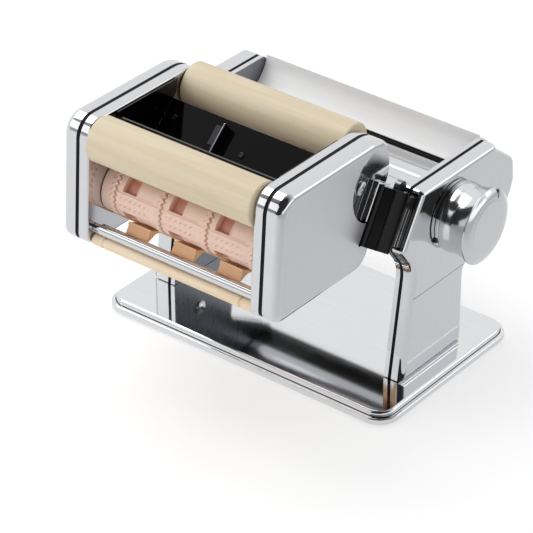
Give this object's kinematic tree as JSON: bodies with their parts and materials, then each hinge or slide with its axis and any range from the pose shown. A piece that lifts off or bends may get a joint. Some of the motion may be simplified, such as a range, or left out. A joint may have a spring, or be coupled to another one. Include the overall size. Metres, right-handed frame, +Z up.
{
  "type": "pasta maker",
  "caption": "Hand-cranked pasta machine on a steel base pan, with a thickness knob and a hooked-on attachment that moulds filled pasta between rollers.",
  "frame": {"origin": "under the middle of the whole object, on the surface that its feet stand on", "axes": "+X along the rollers towards the thickness knob, -Y the front with the attachment, +Z up"},
  "size_m": [0.2114, 0.2164, 0.1703],
  "materials": {
    "polished_chrome": "mirror-polished chromed sheet",
    "polished_steel": "polished stainless sheet",
    "sintered_bronze": "sintered and oiled",
    "black_plastic": "glossy black",
    "black_rubber": "matt moulded",
    "pale_beech": "turned and sanded",
    "peach_plastic": "moulded, satin",
    "amber_plastic": "moulded, satin"
  },
  "bodies": {
    "frame": {"base_pan": "polished_steel", "foot_front_left": "black_rubber", "foot_front_right": "black_rubber", "foot_rear_left": "black_rubber", "foot_rear_right": "black_rubber", "column_plate_left": "polished_steel", "column_plate_right": "polished_steel", "column_cover_left": "polished_chrome", "column_cover_right": "polished_chrome", "rear_feed_sheet": "polished_steel", "front_guard": "polished_steel", "rear_guard": "polished_steel", "front_scraper": "black_plastic", "rear_scraper": "black_plastic", "feed_lip": "black_plastic", "tie_rod_front": "polished_steel", "tie_rod_rear": "polished_steel", "tie_rod_lower": "polished_steel", "dial_collar": "polished_chrome", "rear_bush_left": "sintered_bronze", "rear_bush_right": "sintered_bronze", "rail_left": "black_plastic", "rail_right": "black_plastic"},
    "cam_shaft": {"adjusting_shaft": "polished_steel", "knob_spring": "polished_steel"},
    "knob": {"thickness_knob": "polished_chrome"},
    "roller_carriage": {"roller_link_left": "sintered_bronze", "roller_link_right": "sintered_bronze"},
    "front_roller": {"front_smooth_roller": "polished_steel", "front_roller_gear": "sintered_bronze"},
    "rear_roller": {"rear_smooth_roller": "polished_steel", "rear_roller_gear": "sintered_bronze", "crank_socket": "polished_steel"},
    "attachment": {"attachment_pan_left": "polished_steel", "attachment_pan_right": "polished_steel", "attachment_cover_left": "polished_chrome", "attachment_cover_right": "polished_chrome", "hook_bracket_left": "polished_chrome", "hook_bracket_right": "polished_chrome", "bracket_screw_left": "polished_steel", "bracket_screw_right": "polished_steel", "hook_left": "black_plastic", "hook_right": "black_plastic", "chrome_rod": "polished_chrome", "rear_tie_bar": "polished_chrome", "hopper_front_sheet": "black_plastic", "hopper_rear_sheet": "black_plastic", "hopper_cheek_left": "black_plastic", "hopper_cheek_right": "black_plastic", "hopper_divider": "polished_chrome", "front_comb": "amber_plastic", "rear_comb": "amber_plastic"},
    "front_feed_roller": {"front_wood_roller": "pale_beech"},
    "rear_feed_roller": {"rear_wood_roller": "pale_beech"},
    "lower_dowel": {"lower_wood_dowel": "pale_beech"},
    "front_mould": {"front_mould_roller": "peach_plastic", "front_mould_gear": "sintered_bronze", "attachment_socket": "polished_steel"},
    "rear_mould": {"rear_mould_roller": "peach_plastic", "rear_mould_gear": "sintered_bronze"}
  },
  "joints": [
    {"name": "knob_turn", "type": "hinge", "parent": "frame", "child": "cam_shaft", "pos_m": [-0.0047, 0.04456, 0.1009], "axis": [1, 0, 0], "range_deg": [0, 120]},
    {"name": "knob_pull", "type": "slide", "parent": "cam_shaft", "child": "knob", "axis": [1, 0, 0], "range_m": [0, 0.004], "stiffness_N_per_m": 400, "springref_m": -0.004, "deforming": ["knob_spring"]},
    {"name": "roller_gap", "type": "slide", "parent": "frame", "child": "roller_carriage", "axis": [0, 1, 0], "range_m": [0, 0.0018]},
    {"name": "rear_roller_spin", "type": "hinge", "parent": "frame", "child": "rear_roller", "pos_m": [-0.0047, 0.08331, 0.09831], "axis": [1, 0, 0], "continuous": true},
    {"name": "front_roller_spin", "type": "hinge", "parent": "roller_carriage", "child": "front_roller", "pos_m": [-0.0047, 0.05911, 0.09831], "axis": [1, 0, 0], "continuous": true},
    {"name": "attachment_lift", "type": "slide", "parent": "frame", "child": "attachment", "axis": [0, 0.4699, 0.8827], "range_m": [0, 0.045]},
    {"name": "front_feed_spin", "type": "hinge", "parent": "attachment", "child": "front_feed_roller", "pos_m": [-0.0047, -0.09504, 0.1564], "axis": [1, 0, 0], "continuous": true},
    {"name": "rear_feed_spin", "type": "hinge", "parent": "attachment", "child": "rear_feed_roller", "pos_m": [-0.0047, -0.01294, 0.1574], "axis": [1, 0, 0], "continuous": true},
    {"name": "lower_dowel_spin", "type": "hinge", "parent": "attachment", "child": "lower_dowel", "pos_m": [-0.0047, -0.09814, 0.0946], "axis": [1, 0, 0], "continuous": true},
    {"name": "front_mould_spin", "type": "hinge", "parent": "attachment", "child": "front_mould", "pos_m": [-0.0047, -0.07794, 0.1206], "axis": [1, 0, 0], "continuous": true},
    {"name": "rear_mould_spin", "type": "hinge", "parent": "attachment", "child": "rear_mould", "pos_m": [-0.0047, -0.04554, 0.1206], "axis": [1, 0, 0], "continuous": true}
  ],
  "couplings": [
    {"joint": "knob_turn", "follows": "roller_gap", "rad_per_m": 1163.5},
    {"joint": "front_roller_spin", "follows": "rear_roller_spin", "ratio": -1},
    {"joint": "rear_mould_spin", "follows": "front_mould_spin", "ratio": -1}
  ]
}
